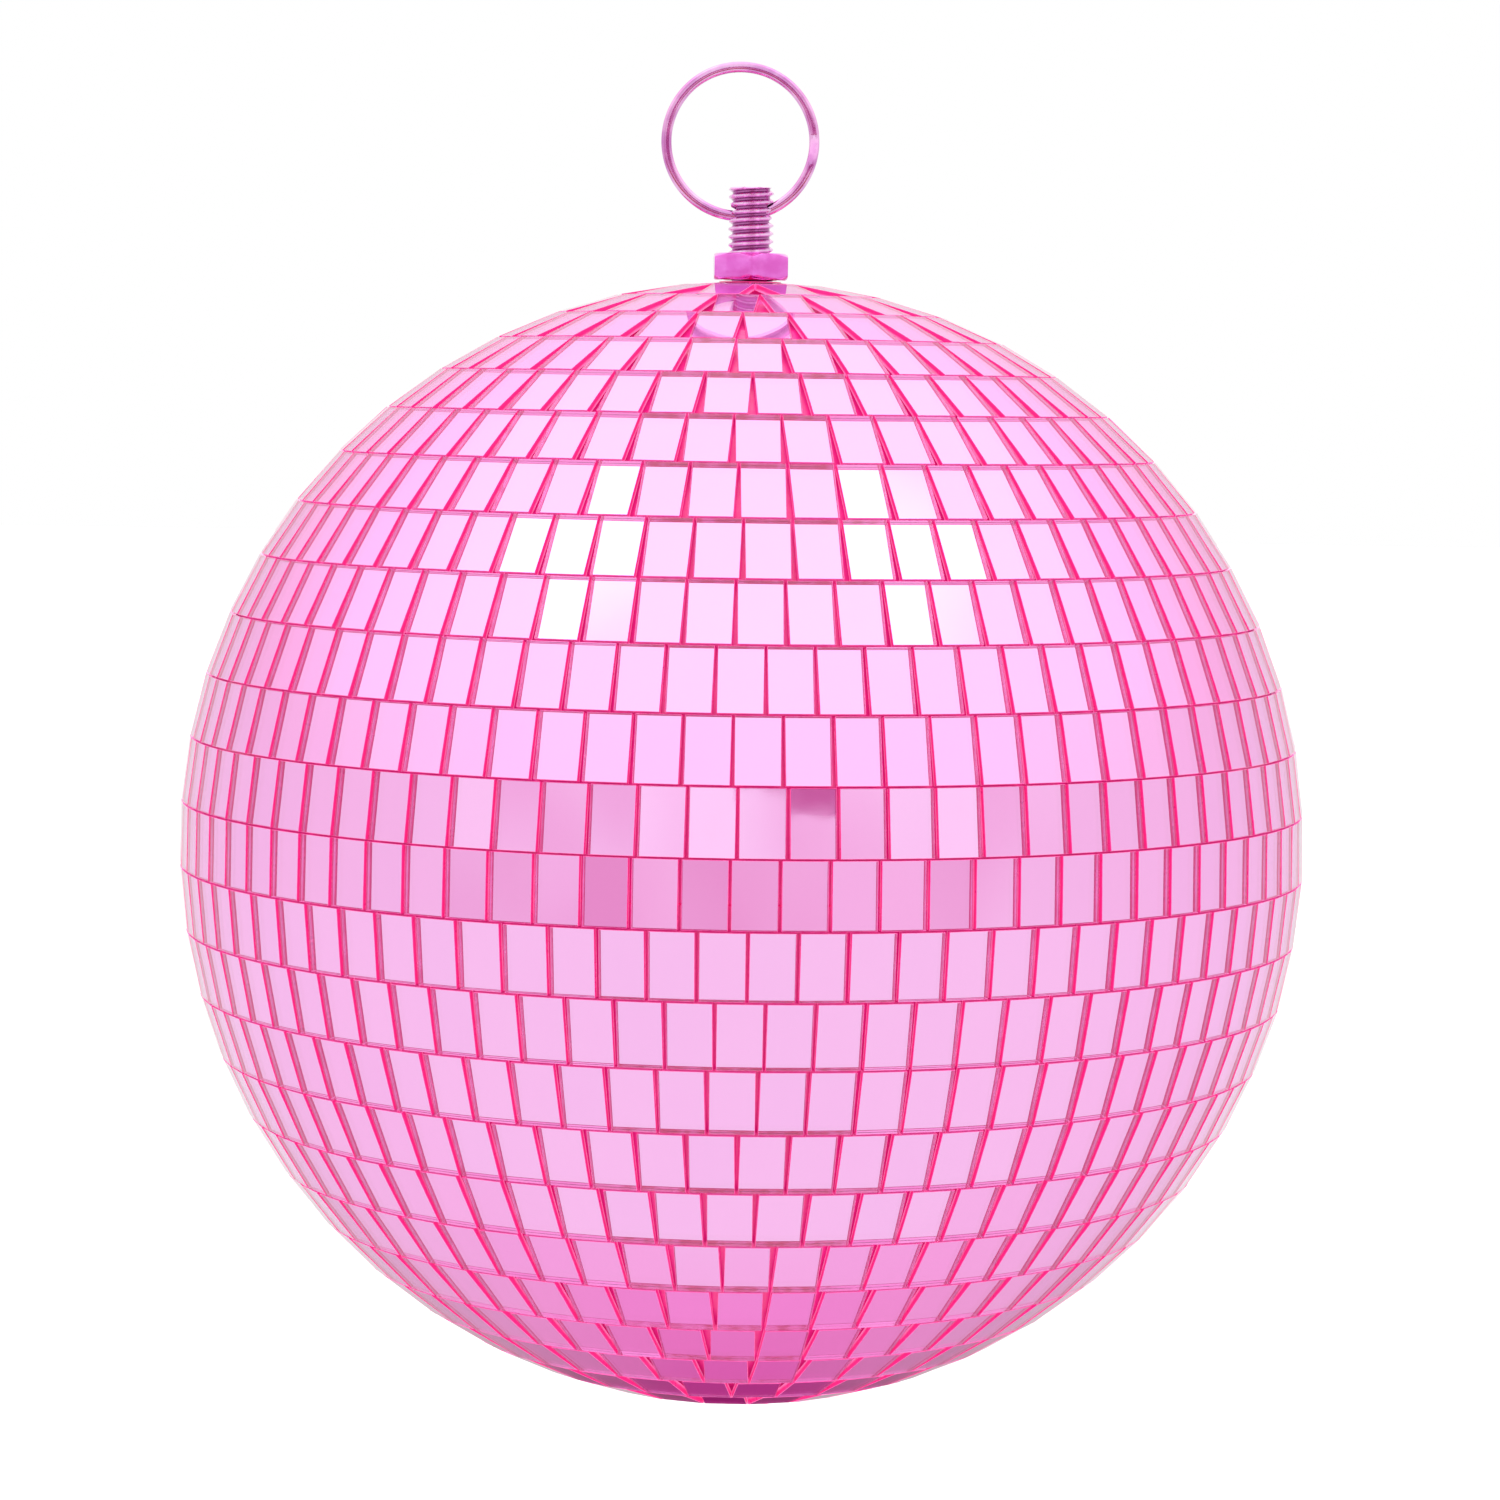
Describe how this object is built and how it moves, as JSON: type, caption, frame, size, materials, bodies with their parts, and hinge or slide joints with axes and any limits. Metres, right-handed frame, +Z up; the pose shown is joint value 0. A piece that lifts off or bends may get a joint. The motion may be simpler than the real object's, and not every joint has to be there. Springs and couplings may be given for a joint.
{
  "type": "mirror ball",
  "caption": "Pink mirror ball: a hollow moulded core covered in rows of small mirrors, hung by a split ring through a cross-drilled bolt.",
  "frame": {"origin": "the point inside the top of the split ring where a hook bears, vertically above the ball's centre", "axes": "+Z up along the ball's axis, X along the cross hole that the split ring passes through, -Y towards the viewer who sees the ring face on"},
  "size_m": [0.1996, 0.1996, 0.2374],
  "materials": {
    "pink_mirror": "polished",
    "core_plastic": "gloss",
    "pink_lacquer": "gloss",
    "zinc_steel": "satin",
    "ring_chrome": "polished"
  },
  "bodies": {
    "hanging_ring": {"split_ring": "ring_chrome"},
    "ball": {"suspension_bolt": "pink_lacquer", "hex_nut": "pink_lacquer", "inner_washer": "zinc_steel", "core_upper": "core_plastic", "core_lower": "core_plastic", "crown_tiles": "pink_mirror", "tile_row_01": "pink_mirror", "tile_row_02": "pink_mirror", "tile_row_03": "pink_mirror", "tile_row_04": "pink_mirror", "tile_row_05": "pink_mirror", "tile_row_06": "pink_mirror", "tile_row_07": "pink_mirror", "tile_row_08": "pink_mirror", "tile_row_09": "pink_mirror", "tile_row_10": "pink_mirror", "tile_row_11": "pink_mirror", "tile_row_12": "pink_mirror", "tile_row_13": "pink_mirror", "tile_row_14": "pink_mirror", "tile_row_15": "pink_mirror", "tile_row_16": "pink_mirror", "tile_row_17": "pink_mirror", "tile_row_18": "pink_mirror", "tile_row_19": "pink_mirror", "tile_row_20": "pink_mirror", "tile_row_21": "pink_mirror", "tile_row_22": "pink_mirror", "tile_row_23": "pink_mirror", "tile_row_24": "pink_mirror", "tile_row_25": "pink_mirror", "pole_disc": "pink_mirror"}
  },
  "joints": [
    {"name": "ring_swing", "type": "hinge", "parent": "hanging_ring", "child": "ball", "pos_m": [0, 0, -0.0243], "axis": [1, 0, 0], "range_deg": [-120, 120]}
  ]
}
